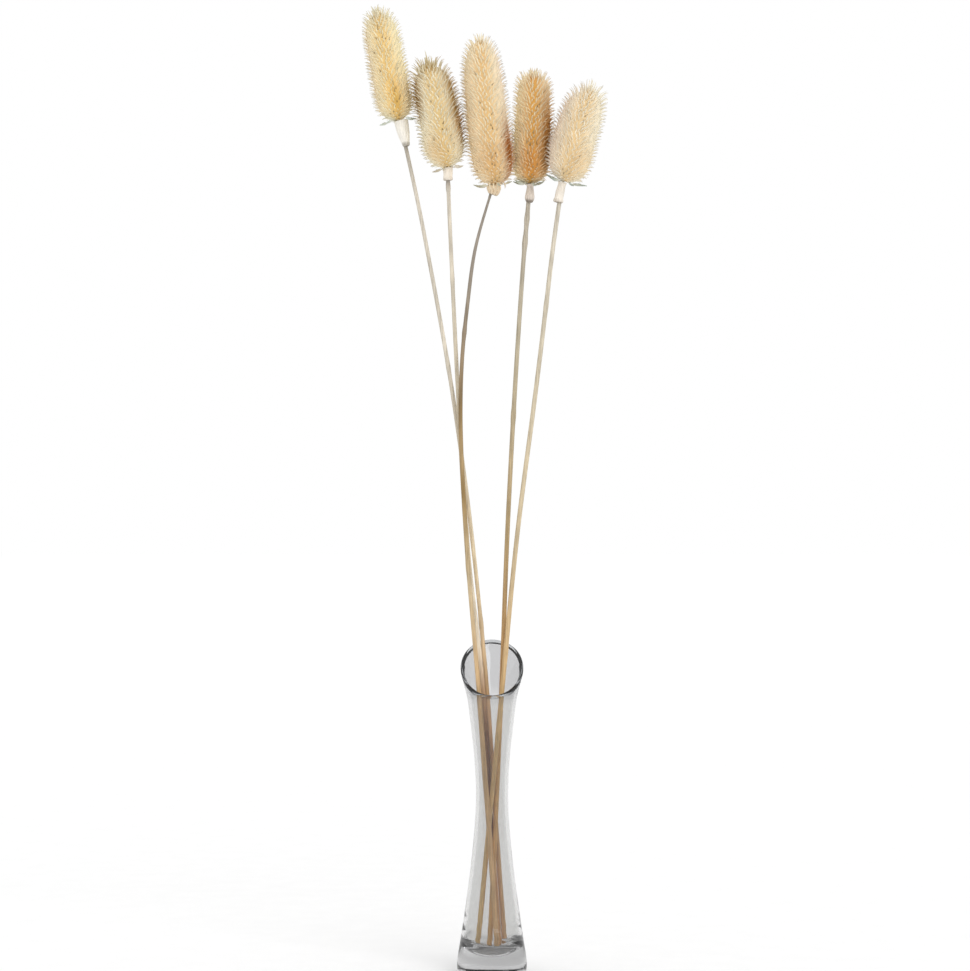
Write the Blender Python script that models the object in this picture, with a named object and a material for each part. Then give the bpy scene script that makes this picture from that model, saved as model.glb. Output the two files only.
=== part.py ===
"""Five dried teasel heads on thin sticks, standing in a slim bud vase of clear glass.

The origin is the middle of the vase's foot, on the surface that it stands on. +Z is up, the low lip of
the mouth faces -Y, and the heads fan out along X. Lengths are in metres.
"""

import math

import bmesh
import bpy
from mathutils import Vector

MM = 0.001
GAP = 0.3 * MM  # clearance between pieces that touch

# Vase: outer radius at each height of the turned glass, both in millimetres
VASE_PROFILE = [
    (0.0, 23.4),
    (1.2, 25.2),
    (3.5, 26.2),
    (7.0, 26.5),
    (13.0, 26.0),
    (24.0, 24.2),
    (40.0, 21.7),
    (60.0, 18.8),
    (80.0, 16.2),
    (102.0, 13.9),
    (124.0, 12.4),
    (144.0, 12.4),
    (165.0, 13.8),
    (185.0, 16.1),
    (205.0, 18.5),
    (216.0, 21.2),
    (228.0, 24.3),
    (240.0, 27.6),
    (254.0, 30.6),
]
GLASS_WALL = 2.6 * MM
BOWL_RIM_HEIGHT = 30.0 * MM  # the inside turns into a round bowl below this
BOWL_FLOOR_HEIGHT = 12.8 * MM
BOWL_RADII = (20.0, 18.0, 15.0, 11.0, 6.0)
MOUTH_LOW_HEIGHT = 208.5 * MM  # lip at the front, the lowest point of the slanted mouth
MOUTH_SLOPE = 0.84  # rise of the mouth for each unit of depth
SLANT_FROM = 165.0 * MM  # rings above this lean over into the slanted mouth
SLANT_RINGS = 5
LIP_ROUNDING = 0.8 * MM
VASE_SIDES = 28

# Sticks
STICK_RADIUS_AT_FOOT = 2.0 * MM
STICK_RADIUS_AT_WAIST = 1.85 * MM
WAIST_HEIGHT = 134.0 * MM
STICK_SPANS = 14
STICK_COLOUR = (0.62, 0.47, 0.30)
SOCKET_DEPTH = 6.0 * MM
FOOT_CLEARANCE = 0.9 * MM  # between a stick's tilted end and the glass below it

# Heads
SPINES_ROUND = 12
ROW_PITCH = 4.8 * MM
SPINE_OUT = 3.4 * MM
SPINE_UP = 3.4 * MM
CROWN_SPINE = 4.0 * MM  # the crown's spines stand this far above the cone
CROWN_CAP_RADIUS = 2.0 * MM
HEAD_SEAT_RADIUS = 4.5 * MM
OUTLINE_STEPS = 200
SPINES_LIFT_FROM = 0.02  # shares of the cone's length between which its spines turn from level to upswept
SPINES_LIFT_TO = 0.14

# Stalk stubs and bracts
STALK_SIDES = 10
STALK_COLOUR = (0.83, 0.77, 0.66)
BRACT_GAP = 1.3 * MM  # between the stalk's flare and a bract's root
BRACT_DROP = 0.9 * MM  # of a bract's root below the head's seat
BRACT_THICKNESS = 0.5 * MM
BRACT_SPANS = 3
BRACT_ROOT_HALF_WIDTH = 1.1 * MM
BRACT_SWELL = 0.7 * MM  # how much wider each side of a bract grows before it tapers
BRACT_TAPER = 0.35
BRACT_COLOUR = (0.66, 0.60, 0.50)

# One entry for each flower, from left to right, in millimetres and degrees.
# route: the stick's middle line from the foot up, without the foot's height. enter: where the stick goes
# into the stalk. reach: the head's widest radius without its spines. widest: where along the head, from
# 0 to 1. base_bluntness and crown_bluntness: how square the two ends are. crown_narrowing: share by
# which the head is narrower at its crown. stalk: (radius, share of the way from the cut end up to the
# head). stalk_aside: how far the stalk's top stands to the right of the head's seat. bracts: (direction
# round the head, length, rise of the root, curl up towards the tip), with 0 at +X and -90 at the front.
FLOWERS = [
    {
        "route": [(9.8, 7.0), (1.8, 6.0, 130), (-3.7, 5.5, 212), (-15.5, 5.0, 330), (-30.4, 5.0, 440),
                  (-48.2, 5.5, 540)],
        "seat": (-70.7, 8.4, 640.5),
        "tip": (-87.0, 9.6, 726.8),
        "enter": (-64.9, 6.4, 620.2),
        "colour": (0.84, 0.71, 0.45),
        "stick_radius": 1.5,
        "stalk": [(2.5, 0.0), (3.3, 0.18), (4.3, 0.45), (5.0, 0.82)],
        "stalk_aside": 2.2,
        "reach": 12.2,
        "widest": 0.30,
        "base_bluntness": 4.0,
        "crown_bluntness": 9.0,
        "crown_narrowing": 0.08,
        "bracts": [(185, 6, -12, 20), (228, 5, -16, 10), (-40, 5, -14, 25), (5, 5, -8, 25), (95, 6, -14, 20)],
    },
    {
        "route": [(6.0, 4.5), (-1.8, 3.5, 130), (-6.6, 2.5, 212), (-19.2, 1.0, 330), (-25.7, 0.0, 440),
                  (-30.2, -0.8, 530)],
        "seat": (-33.2, -1.8, 603.8),
        "tip": (-49.3, -2.8, 687.8),
        "enter": (-33.0, -1.1, 594.0),
        "colour": (0.8, 0.66, 0.44),
        "stick_radius": 1.5,
        "stalk": [(3.3, 0.0), (3.6, 0.08), (3.4, 0.45), (3.7, 0.85)],
        "stalk_aside": -0.2,
        "reach": 14.4,
        "widest": 0.40,
        "base_bluntness": 3.5,
        "crown_bluntness": 4.0,
        "crown_narrowing": 0.0,
        "bracts": [(180, 7, -12, 25), (250, 6, -25, 20), (-15, 7, -14, 30), (80, 7, -15, 20)],
    },
    {
        "route": [(4.1, -6.5), (-3.6, -6.0, 130), (-9.9, -5.5, 212), (-19.6, -5.5, 330), (-23.3, -6.0, 440),
                  (-14.6, -6.6, 530)],
        "seat": (3.0, -8.6, 590.2),
        "tip": (-10.0, -9.0, 704.0),
        "enter": (-1.2, -7.0, 582.8),
        "stalk_end": (0.6, -7.0, 582.6),
        "colour": (0.83, 0.67, 0.44),
        "stick_radius": 1.4,
        "stalk": [(3.4, 0.0), (4.1, 0.14), (4.9, 0.42), (5.2, 0.82)],
        "stalk_aside": -2.0,
        "reach": 13.9,
        "widest": 0.40,
        "base_bluntness": 6.0,
        "crown_bluntness": 6.5,
        "crown_narrowing": 0.0,
        "bracts": [(172, 9, 8, 30), (215, 7, -4, 30), (-80, 6, -20, 25), (-40, 7, 2, 10), (90, 9, -5, 25)],
    },
    {
        "route": [(-1.9, -2.0), (3.4, 0.5, 130), (7.1, 2.0, 212), (11.6, 3.5, 330), (17.3, 4.6, 440),
                  (23.3, 5.2, 530)],
        "seat": (28.2, 6.4, 592.5),
        "tip": (31.4, 7.2, 679.8),
        "enter": (27.4, 5.5, 578.2),
        "colour": (0.7, 0.49, 0.22),
        "stick_radius": 1.7,
        "stalk": [(2.5, 0.0), (3.2, 0.12), (3.6, 0.3), (3.1, 0.55), (2.8, 0.85)],
        "stalk_aside": 0.6,
        "reach": 12.6,
        "widest": 0.42,
        "base_bluntness": 5.2,
        "crown_bluntness": 11.0,
        "crown_narrowing": 0.2,
        "bracts": [(178, 8, 8, 20), (205, 8, 12, 20), (-65, 7, -18, 20), (-5, 7, 16, 25), (85, 8, 0, 20)],
    },
    {
        "route": [(-10.9, -0.5), (-0.5, -2.0, 130), (7.5, -3.0, 212), (19.0, -4.5, 330), (33.1, -5.5, 440),
                  (44.0, -6.4, 530)],
        "seat": (54.4, -7.2, 592.5),
        "tip": (74.2, -8.4, 668.6),
        "enter": (50.3, -6.9, 576.8),
        "colour": (0.84, 0.74, 0.57),
        "stick_radius": 1.7,
        "stalk": [(3.6, 0.0), (3.8, 0.1), (3.3, 0.2), (3.3, 0.5), (3.0, 0.88)],
        "stalk_aside": -1.6,
        "reach": 14.3,
        "widest": 0.48,
        "base_bluntness": 4.4,
        "crown_bluntness": 4.6,
        "crown_narrowing": 0.0,
        "bracts": [(176, 10, 12, 18), (212, 7, -5, 30), (-55, 7, -20, 20), (-4, 11, 8, 3), (100, 8, 0, 20)],
    },
]


def clear_scene():
    """Remove everything that the file opened with."""
    for obj in list(bpy.data.objects):
        bpy.data.objects.remove(obj, do_unlink=True)


def material(name, colour, roughness, transmission=0.0):
    """A plain Principled material."""
    mat = bpy.data.materials.new(name)
    mat.use_nodes = True
    shader = mat.node_tree.nodes["Principled BSDF"]
    shader.inputs["Base Color"].default_value = (*colour, 1.0)
    shader.inputs["Roughness"].default_value = roughness
    shader.inputs["Metallic"].default_value = 0.0
    shader.inputs["Transmission Weight"].default_value = transmission
    return mat


def add_object(name, data, mat):
    """Link a new object to the scene, with its own material."""
    obj = bpy.data.objects.new(name, data)
    data.materials.append(mat)
    bpy.context.scene.collection.objects.link(obj)
    return obj


def mesh_from(bm, name, smooth_angle=None):
    """Turn a bmesh into a mesh with its faces pointing out, shaded smooth below the angle given."""
    bmesh.ops.recalc_face_normals(bm, faces=bm.faces)
    mesh = bpy.data.meshes.new(name)
    bm.to_mesh(mesh)
    bm.free()
    if smooth_angle is not None:
        mesh.shade_smooth()
        mesh.set_sharp_from_angle(angle=math.radians(smooth_angle))
    return mesh


def millimetres(point):
    """A point given in millimetres, as a vector in metres."""
    return Vector(point) * MM


def tangents(points):
    """The direction of a smooth curve at each of its points, per unit of the first coordinate."""
    slopes = []
    for i in range(len(points)):
        before = points[max(i - 1, 0)]
        after = points[min(i + 1, len(points) - 1)]
        slopes.append([(b - a) / (after[0] - before[0]) for a, b in zip(before[1:], after[1:])])
    return slopes


def smooth_at(points, x):
    """Values at x on the smooth (cubic Hermite) curve through points, each (x, value, ...)."""
    x = min(max(x, points[0][0]), points[-1][0])
    slopes = tangents(points)
    i = 0
    while i < len(points) - 2 and x > points[i + 1][0]:
        i += 1
    span = points[i + 1][0] - points[i][0]
    t = (x - points[i][0]) / span
    h00 = 2 * t**3 - 3 * t**2 + 1
    h10 = t**3 - 2 * t**2 + t
    h01 = -2 * t**3 + 3 * t**2
    h11 = t**3 - t**2
    values = []
    for k in range(len(points[i]) - 1):
        start = h00 * points[i][k + 1] + h10 * span * slopes[i][k]
        end = h01 * points[i + 1][k + 1] + h11 * span * slopes[i + 1][k]
        values.append(start + end)
    return values


def vase_radius(height):
    """The glass's outer radius at a height."""
    return smooth_at(VASE_PROFILE, height / MM)[0] * MM


def mouth_height(angle, inset):
    """Where the slanted mouth cuts the glass at an angle round the axis, inset from the outer surface."""
    low_radius = vase_radius(MOUTH_LOW_HEIGHT)
    height = MOUTH_LOW_HEIGHT
    for _ in range(20):
        depth = (vase_radius(height) - inset) * math.sin(angle)
        height = MOUTH_LOW_HEIGHT + MOUTH_SLOPE * (depth + low_radius)
    return height


def bowl_height(radius):
    """The height of the rounded floor inside the vase at a distance from the axis."""
    rim = vase_radius(BOWL_RIM_HEIGHT) - GLASS_WALL
    depth = BOWL_RIM_HEIGHT - BOWL_FLOOR_HEIGHT
    return BOWL_RIM_HEIGHT - depth * math.sqrt(max(0.0, 1.0 - (radius / rim) ** 2))


def level_ring(radius, height):
    """A ring of the vase that lies level."""
    return lambda angle: (radius, height)


def slanted_ring(share, inset, drop=0.0):
    """A ring between the level part of the glass and the slanted mouth, at a share of the way up."""

    def point(angle):
        top = mouth_height(angle, inset) - drop
        height = SLANT_FROM + share * (top - SLANT_FROM)
        return vase_radius(height) - inset, height

    return point


def vase_rings():
    """Every ring of the vase, from the foot up the outside, over the lip and down to the bowl's floor."""
    levels = [h * MM for h, _ in VASE_PROFILE if h * MM < SLANT_FROM + 0.1 * MM]
    shares = [(i + 1) / SLANT_RINGS for i in range(SLANT_RINGS)]
    rings = [level_ring(vase_radius(h), h) for h in levels]
    rings += [slanted_ring(s, 0.0, LIP_ROUNDING * s) for s in shares]
    rings.append(slanted_ring(1.0, LIP_ROUNDING))
    rings.append(slanted_ring(1.0, GLASS_WALL - LIP_ROUNDING))
    rings += [slanted_ring(s, GLASS_WALL, LIP_ROUNDING * s) for s in reversed(shares)]
    inside = [h for h in reversed(levels) if h > BOWL_RIM_HEIGHT + 5 * MM]
    rings += [level_ring(vase_radius(h) - GLASS_WALL, h) for h in inside]
    rings.append(level_ring(vase_radius(BOWL_RIM_HEIGHT) - GLASS_WALL, BOWL_RIM_HEIGHT))
    rings += [level_ring(r * MM, bowl_height(r * MM)) for r in BOWL_RADII]
    return rings


def skin(bm, loops):
    """Join a row of vertex loops into a tube and close both ends."""
    for low, high in zip(loops, loops[1:]):
        count = len(low)
        for j in range(count):
            k = (j + 1) % count
            bm.faces.new((low[j], low[k], high[k], high[j]))
    bm.faces.new(list(reversed(loops[0])))
    bm.faces.new(loops[-1])


def make_vase():
    """The glass vase: thick foot, waist, and a trumpet mouth with a rounded lip on the slant."""
    bm = bmesh.new()
    loops = []
    for ring in vase_rings():
        loop = []
        for j in range(VASE_SIDES):
            angle = 2 * math.pi * (j + 0.5) / VASE_SIDES
            radius, height = ring(angle)
            loop.append(bm.verts.new((radius * math.cos(angle), radius * math.sin(angle), height)))
        loops.append(loop)
    skin(bm, loops)
    mesh = mesh_from(bm, "vase", smooth_angle=50)
    return add_object("vase", mesh, material("vase glass", (0.93, 0.94, 0.95), 0.03, transmission=1.0))


def stick_direction(flower):
    """The way that a stick points where it goes up into its stalk."""
    last = flower["route"][-1]
    up_the_stick = (millimetres(flower["enter"]) - millimetres(last)).normalized()
    up_the_stalk = (millimetres(flower["seat"]) - millimetres(flower["enter"])).normalized()
    return (up_the_stick + up_the_stalk).normalized()


def stick_foot(flower):
    """The middle of a stick's lower end, just above the bowl's floor."""
    x, y = flower["route"][0]
    reach = math.hypot(x, y) * MM + STICK_RADIUS_AT_FOOT
    return Vector((x * MM, y * MM, bowl_height(reach) + FOOT_CLEARANCE))


def stick_line(flower):
    """Points along a stick's middle line, from its foot to the blind end of the stalk's socket."""
    enter = millimetres(flower["enter"])
    into = stick_direction(flower)
    points = [stick_foot(flower)]
    points += [millimetres(p) for p in flower["route"][1:]]
    points += [enter - into * 2 * SOCKET_DEPTH, enter, enter + into * SOCKET_DEPTH]
    curve = [(p.z, p.x, p.y) for p in points]
    line = []
    for i in range(STICK_SPANS):
        height = points[0].z + (enter.z - points[0].z) * i / STICK_SPANS
        x, y = smooth_at(curve, height)
        line.append(Vector((x, y, height)))
    line += [enter, enter + into * SOCKET_DEPTH]
    return line


def stick_radius(flower, height):
    """A stick thins from its foot to its top."""
    top = flower["stick_radius"] * MM
    points = [(0.0, STICK_RADIUS_AT_FOOT), (WAIST_HEIGHT, STICK_RADIUS_AT_WAIST), (600 * MM, top)]
    for (z0, r0), (z1, r1) in zip(points, points[1:]):
        if height <= z1:
            return r0 + (r1 - r0) * (height - z0) / (z1 - z0)
    return top


def make_stick(number, flower):
    """A thin natural stick: a bevelled curve that tapers, with flat cut ends."""
    line = stick_line(flower)
    curve = bpy.data.curves.new(f"stick_{number}", "CURVE")
    curve.dimensions = "3D"
    curve.bevel_depth = MM
    curve.bevel_resolution = 2
    curve.use_fill_caps = True
    curve.twist_mode = "MINIMUM"
    spline = curve.splines.new("POLY")
    spline.points.add(len(line) - 1)
    for point, place in zip(spline.points, line):
        point.co = (*place, 1.0)
        point.radius = stick_radius(flower, place.z) / MM
    spline.use_smooth = True
    return add_object(f"stick_{number}", curve, material(f"stick {number}", STICK_COLOUR, 0.7))


def head_radius(flower, share):
    """Radius of the cone under the spines, at a share of the way from its seat to its crown."""
    widest = flower["widest"]
    if share < widest:
        fall = ((widest - share) / widest) ** flower["base_bluntness"]
    else:
        fall = ((share - widest) / (1 - widest)) ** flower["crown_bluntness"]
    narrower = flower["crown_narrowing"] * max(0.0, (share - widest) / (1 - widest))
    return flower["reach"] * MM * (1.0 - narrower) * math.sqrt(max(0.0, 1.0 - fall))


def head_length(flower):
    """Length of the cone itself: the spines of the crown stand on it."""
    return (millimetres(flower["tip"]) - millimetres(flower["seat"])).length - CROWN_SPINE


def head_outline(flower):
    """Radius and height of each row of diamonds, evenly spaced along the cone's side and over its crown."""
    length = head_length(flower)
    fine = []
    for i in range(OUTLINE_STEPS + 1):
        share = i / OUTLINE_STEPS
        fine.append(Vector((head_radius(flower, share), length * share)))
    fine = [p for p in fine[:OUTLINE_STEPS // 2] if p.x >= HEAD_SEAT_RADIUS] + fine[OUTLINE_STEPS // 2:]
    fine[0] = Vector((HEAD_SEAT_RADIUS, 0.0))
    reached = [0.0]
    for low, high in zip(fine, fine[1:]):
        reached.append(reached[-1] + (high - low).length)
    total = reached[-1] - CROWN_CAP_RADIUS
    rows = round(total / ROW_PITCH)
    outline = []
    k = 0
    for i in range(rows + 1):
        target = total * i / rows
        while reached[k + 1] < target:
            k += 1
        part = (target - reached[k]) / (reached[k + 1] - reached[k])
        outline.append(fine[k].lerp(fine[k + 1], part))
    return outline


def head_loops(bm, flower):
    """Rings of vertices up the cone, each turned half a step from the one below."""
    loops = []
    for i, (radius, height) in enumerate(head_outline(flower)):
        turn = 0.5 * (i % 2)
        loop = []
        for j in range(SPINES_ROUND):
            angle = 2 * math.pi * (j + turn) / SPINES_ROUND
            loop.append(bm.verts.new((radius * math.cos(angle), radius * math.sin(angle), height)))
        loops.append(loop)
    return loops


def make_head(number, flower):
    """A teasel head: diamonds laid round the cone in two crossing spirals, each raised to a spine."""
    bm = bmesh.new()
    loops = head_loops(bm, flower)
    count = SPINES_ROUND
    diamonds = []
    for i in range(1, len(loops) - 1):
        below, level, above = loops[i - 1], loops[i], loops[i + 1]
        for j in range(count):
            left = (j - 1) % count if i % 2 else j
            right = j if i % 2 else (j + 1) % count
            diamonds.append(bm.faces.new((below[j], level[right], above[j], level[left])))
    bottom, top = loops[0], loops[-1]
    for j in range(count):
        after = (j + 1) % count
        peak = j if len(loops) % 2 else after
        bm.faces.new((bottom[after], bottom[j], loops[1][j]))
        bm.faces.new((top[j], top[after], loops[-2][peak]))
    bm.faces.new(list(reversed(bottom)))
    diamonds.append(bm.faces.new(top))
    bm.normal_update()
    raised = bmesh.ops.poke(bm, faces=diamonds, offset=SPINE_OUT)
    length = head_length(flower)
    for vertex in raised["verts"]:
        share = vertex.co.z / length
        lift = (share - SPINES_LIFT_FROM) / (SPINES_LIFT_TO - SPINES_LIFT_FROM)
        vertex.co.z += SPINE_UP * min(1.0, max(0.0, lift))
        vertex.co.z = min(vertex.co.z, length + CROWN_SPINE)
    mesh = mesh_from(bm, f"head_{number}")
    obj = add_object(f"head_{number}", mesh, material(f"head {number}", flower["colour"], 0.85))
    along = millimetres(flower["tip"]) - millimetres(flower["seat"])
    obj.location = millimetres(flower["seat"])
    obj.rotation_mode = "QUATERNION"
    obj.rotation_quaternion = Vector((0.0, 0.0, 1.0)).rotation_difference(along)  # keeps the head's +X to the right
    return obj


def make_socket_cutter(number, flower):
    """A hidden rod along the stick's end, which cuts the socket in the stalk."""
    into = stick_direction(flower)
    enter = millimetres(flower["enter"])
    radius = flower["stick_radius"] * MM + GAP
    deep = SOCKET_DEPTH + GAP
    shallow = 4 * MM
    bm = bmesh.new()
    bmesh.ops.create_cone(bm, cap_ends=True, segments=STALK_SIDES, radius1=radius, radius2=radius,
                          depth=deep + shallow)
    mesh = mesh_from(bm, f"socket_cutter_{number}")
    cutter = bpy.data.objects.new(f"socket_cutter_{number}", mesh)
    bpy.context.scene.collection.objects.link(cutter)
    cutter.location = enter + into * (deep - shallow) / 2
    cutter.rotation_mode = "QUATERNION"
    cutter.rotation_quaternion = into.to_track_quat("Z", "Y")
    cutter.hide_render = True
    cutter.display_type = "WIRE"
    return cutter


def make_stalk(number, flower):
    """The head's own stalk stub: it flares under the head, narrows and is cut off square."""
    seat = millimetres(flower["seat"])
    end = millimetres(flower.get("stalk_end", flower["enter"])) - seat
    along_head = millimetres(flower["tip"]) - seat
    top = along_head.normalized() * -2 * GAP + Vector((flower["stalk_aside"] * MM, 0.0, 0.0))
    facing_cut = stick_direction(flower).to_track_quat("Z", "Y")
    facing_head = along_head.to_track_quat("Z", "Y")
    rings = [(radius * MM, share) for radius, share in flower["stalk"]] + [(HEAD_SEAT_RADIUS - GAP, 1.0)]
    bm = bmesh.new()
    loops = []
    for radius, share in rings:
        centre = end.lerp(top, share)
        facing = facing_cut.slerp(facing_head, share)
        loop = []
        for j in range(STALK_SIDES):
            angle = 2 * math.pi * j / STALK_SIDES
            corner = Vector((radius * math.cos(angle), radius * math.sin(angle), 0.0))
            loop.append(bm.verts.new(centre + facing @ corner))
        loops.append(loop)
    skin(bm, loops)
    mesh = mesh_from(bm, f"stalk_{number}", smooth_angle=50)
    obj = add_object(f"stalk_{number}", mesh, material(f"stalk {number}", STALK_COLOUR, 0.75))
    obj.location = seat
    cut_socket = obj.modifiers.new("socket", "BOOLEAN")
    cut_socket.operation = "DIFFERENCE"
    cut_socket.solver = "EXACT"
    cut_socket.object = make_socket_cutter(number, flower)
    return obj


def make_bract(name, head, root, direction, length, rise, curl):
    """A thin pointed leaf: diamond sections along a curl, closing to a point."""
    bm = bmesh.new()
    length *= MM
    turn = math.radians(curl) / BRACT_SPANS
    slope = math.radians(rise)
    out, up = root, -BRACT_DROP
    loops = []
    for i in range(BRACT_SPANS):
        share = i / BRACT_SPANS
        swell = BRACT_SWELL * math.sin(math.pi * min(share * 1.6, 1.0))
        half_width = (BRACT_ROOT_HALF_WIDTH + swell) * (1.0 - BRACT_TAPER * share)
        half_thick = BRACT_THICKNESS / 2
        normal = Vector((-math.sin(slope), 0.0, math.cos(slope)))
        middle = Vector((out, 0.0, up))
        side = Vector((0.0, half_width, 0.0))
        corners = (middle - side, middle - normal * half_thick, middle + side, middle + normal * half_thick)
        loops.append([bm.verts.new(corner) for corner in corners])
        out += math.cos(slope) * length / BRACT_SPANS
        up += math.sin(slope) * length / BRACT_SPANS
        slope += turn
    for low, high in zip(loops, loops[1:]):
        for j in range(4):
            k = (j + 1) % 4
            bm.faces.new((low[j], low[k], high[k], high[j]))
    point = bm.verts.new((out, 0.0, up))
    for j in range(4):
        bm.faces.new((loops[-1][j], loops[-1][(j + 1) % 4], point))
    bm.faces.new(list(reversed(loops[0])))
    obj = add_object(name, mesh_from(bm, name), material(name.replace("_", " "), BRACT_COLOUR, 0.8))
    obj.parent = head
    obj.rotation_euler = (0.0, 0.0, math.radians(direction))
    return obj


def build():
    """Make every piece of the arrangement."""
    clear_scene()
    make_vase()
    for number, flower in enumerate(FLOWERS, start=1):
        make_stick(number, flower)
        make_stalk(number, flower)
        head = make_head(number, flower)
        root = (flower["stalk"][-1][0] + abs(flower["stalk_aside"])) * MM + BRACT_GAP
        for k, (direction, length, rise, curl) in enumerate(flower["bracts"], start=1):
            make_bract(f"bract_{number}_{k}", head, root, direction, length, rise, curl)


build()
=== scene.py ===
import math

import bpy
import numpy as np
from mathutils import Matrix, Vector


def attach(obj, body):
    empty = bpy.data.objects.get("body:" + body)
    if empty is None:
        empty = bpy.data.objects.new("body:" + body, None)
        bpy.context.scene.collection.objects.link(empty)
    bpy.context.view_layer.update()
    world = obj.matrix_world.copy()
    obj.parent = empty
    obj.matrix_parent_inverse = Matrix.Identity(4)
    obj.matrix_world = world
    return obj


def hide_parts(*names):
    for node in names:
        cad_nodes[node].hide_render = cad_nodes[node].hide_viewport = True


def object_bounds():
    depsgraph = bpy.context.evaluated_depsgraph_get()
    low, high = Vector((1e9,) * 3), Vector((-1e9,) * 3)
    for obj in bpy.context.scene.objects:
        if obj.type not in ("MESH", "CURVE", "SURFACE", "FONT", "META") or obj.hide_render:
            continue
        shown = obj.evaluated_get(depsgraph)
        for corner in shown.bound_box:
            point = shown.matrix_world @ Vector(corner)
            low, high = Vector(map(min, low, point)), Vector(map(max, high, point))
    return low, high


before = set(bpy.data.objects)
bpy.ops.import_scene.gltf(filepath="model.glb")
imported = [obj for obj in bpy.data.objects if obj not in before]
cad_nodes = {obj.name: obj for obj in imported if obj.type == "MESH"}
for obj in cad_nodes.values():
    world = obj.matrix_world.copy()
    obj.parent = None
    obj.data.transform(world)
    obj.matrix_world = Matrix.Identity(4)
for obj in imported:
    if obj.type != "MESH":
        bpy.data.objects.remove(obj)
cad_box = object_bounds()

# ---------------------------------------------------------------------------------------------------
# The vase
# A slim bud vase of clear soda-lime glass. It is blown in a turned mould, which leaves a thick foot, a
# narrow waist and a trumpet mouth; the mouth is cut on a slant and its edge melted round in a flame.
# ---------------------------------------------------------------------------------------------------
MM = 0.001
# outer radius at each height, both in millimetres
GLASS_PROFILE = np.array([
    (0.0, 23.4), (1.2, 25.2), (3.5, 26.2), (7.0, 26.5), (13.0, 26.0), (24.0, 24.2), (40.0, 21.7),
    (60.0, 18.8), (80.0, 16.2), (102.0, 13.9), (124.0, 12.4), (144.0, 12.4), (165.0, 13.8),
    (185.0, 16.1), (205.0, 18.5), (216.0, 21.2), (228.0, 24.3), (240.0, 27.6), (254.0, 30.6),
]) * MM
FRAME_VASE_SIDES = 28  # the round glass touches the middles of the frame's flat sides
GLASS_WALL = 2.6 * MM
BOWL_RIM_HEIGHT = 30.0 * MM  # the hollow ends in a round bowl below this
BOWL_FLOOR_HEIGHT = 12.8 * MM
FOOT_HOLLOW = 0.8 * MM  # the underside rises this much in the middle, so the glass stands on a ring
FOOT_HOLLOW_RADIUS = 21.0 * MM
MOUTH_LOW_HEIGHT = 208.5 * MM
MOUTH_SLOPE = 0.84  # rise of the mouth for each unit of depth
SLANT_FROM = 165.0 * MM
LIP_ROUNDING = 1.1 * MM
LIP_DEPTH = 2.4 * MM  # of the grey ring below the cut
RIPPLE = 0.05 * MM  # mould-blown glass is a little uneven
SWIRL = 0.6 * MM  # depth of the waves inside the foot, round one height and spread about it
SWIRL_HEIGHT = 32.0 * MM
SWIRL_SPREAD = 11.0 * MM
GLASS_DENSITY = 24.0  # of the grey in the glass
GREYER_FROM = 200.0 * MM  # the glass goes over to the mouth's tint between these heights
GREYER_TO = 216.0 * MM
VASE_COLUMNS = 112


def smooth_through(x, knots, values):
    """Values at x on a smooth curve through the knots. Each span is a cubic whose slope at either end
    is that of the straight line between the knots on its two sides."""
    last = len(knots) - 1
    after = np.minimum(np.arange(last + 1) + 1, last)
    before = np.maximum(np.arange(last + 1) - 1, 0)
    slopes = (values[after] - values[before]) / (knots[after] - knots[before])
    i = np.clip(np.searchsorted(knots, x) - 1, 0, last - 1)
    span = knots[i + 1] - knots[i]
    t = (np.clip(x, knots[0], knots[-1]) - knots[i]) / span
    start = (2 * t**3 - 3 * t**2 + 1) * values[i] + (t**3 - 2 * t**2 + t) * span * slopes[i]
    end = (3 * t**2 - 2 * t**3) * values[i + 1] + (t**3 - t**2) * span * slopes[i + 1]
    return start + end


def glass_radius(height, inset=0.0):
    """Radius of the glass at a height, inset from its outer face."""
    outer = smooth_through(height, GLASS_PROFILE[:, 0], GLASS_PROFILE[:, 1])
    return outer * math.cos(math.pi / FRAME_VASE_SIDES) - inset


def mouth_height(angle, inset):
    """Where the slanted cut, a plane that rises towards the back, meets the glass: the height is found
    by going from plane to wall and back until it settles."""
    height = np.full_like(angle, MOUTH_LOW_HEIGHT)
    for _ in range(20):
        depth = glass_radius(height, inset) * np.sin(angle)
        height = MOUTH_LOW_HEIGHT + MOUTH_SLOPE * (depth + glass_radius(MOUTH_LOW_HEIGHT))
    return height


def skin_faces(rings, columns):
    """Faces of a closed skin of rings: quads from each ring to the next, and a fan of triangles to a
    pole at either end. Vertex 0 is the first pole, then come the rings, then the last pole."""
    here = np.arange(columns)
    after = (here + 1) % columns
    start = 1 + np.arange(rings - 1)[:, None] * columns
    quads = np.stack([start + here, start + after, start + columns + after, start + columns + here], -1)
    top = 1 + (rings - 1) * columns
    first_fan = np.stack([np.zeros_like(here), 1 + after, 1 + here], -1)
    last_fan = np.stack([np.full_like(here, 1 + rings * columns), top + here, top + after], -1)
    return quads.reshape(-1, 4), np.concatenate([first_fan, last_fan])


def turned_skin(radius, height, angle, first_pole, last_pole):
    """Points of a turned skin: each ring's radius and height at each angle, and its two poles."""
    rings = np.stack([radius * np.cos(angle), radius * np.sin(angle), height], -1)
    return np.concatenate([[first_pole], rings.reshape(-1, 3), [last_pole]])


def outward(points, quads, triangles):
    """Turns the faces round if the volume that they enclose, a sum of tetrahedra, comes out negative."""
    fans = np.concatenate([quads[:, [0, 1, 2]], quads[:, [0, 2, 3]], triangles])
    a, b, c = (points[fans[:, k]] - points.mean(0) for k in range(3))
    if np.einsum("ij,ij->", a, np.cross(b, c)) < 0:
        return quads[:, ::-1], triangles[:, ::-1]
    return quads, triangles


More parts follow.
